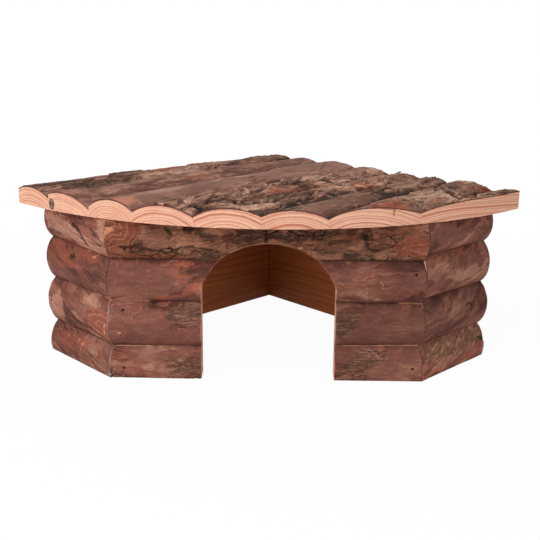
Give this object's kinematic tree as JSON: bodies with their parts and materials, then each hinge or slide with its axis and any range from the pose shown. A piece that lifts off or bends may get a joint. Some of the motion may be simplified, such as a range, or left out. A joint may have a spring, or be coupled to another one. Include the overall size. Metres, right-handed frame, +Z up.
{
  "type": "corner small animal house",
  "caption": "Quarter-round corner house for small pets, with half-log walls, an arched doorway in front, plain board backs and a roof of bark-faced slats.",
  "frame": {"origin": "on the floor under the middle of the roof's bounding box", "axes": "+X to the right for someone who faces the doorway, -Y the way the doorway faces, +Z up"},
  "size_m": [0.4242, 0.3, 0.151],
  "materials": {
    "roof_bark": "natural bark with sawn ends",
    "wall_bark": "natural bark with sawn ends",
    "pine": "planed, untreated",
    "brad_steel": "dull wire"
  },
  "bodies": {
    "root": {"roof_slat_1": "roof_bark", "roof_slat_2": "roof_bark", "roof_slat_3": "roof_bark", "roof_slat_4": "roof_bark", "roof_slat_5": "roof_bark", "roof_slat_6": "roof_bark", "roof_slat_7": "roof_bark", "roof_slat_8": "roof_bark", "front_log_1": "wall_bark", "front_left_log_2": "wall_bark", "front_left_log_3": "wall_bark", "front_left_log_4": "wall_bark", "front_right_log_2": "wall_bark", "front_right_log_3": "wall_bark", "front_right_log_4": "wall_bark", "left_log_1": "wall_bark", "left_log_2": "wall_bark", "left_log_3": "wall_bark", "left_log_4": "wall_bark", "right_log_1": "wall_bark", "right_log_2": "wall_bark", "right_log_3": "wall_bark", "right_log_4": "wall_bark", "back_left_board": "pine", "back_right_board": "pine", "left_corner_post": "pine", "right_corner_post": "pine", "front_brads": "brad_steel", "left_brads": "brad_steel", "right_brads": "brad_steel", "corner_brads": "brad_steel", "roof_back_brads": "brad_steel", "roof_front_brads": "brad_steel"}
  },
  "joints": []
}
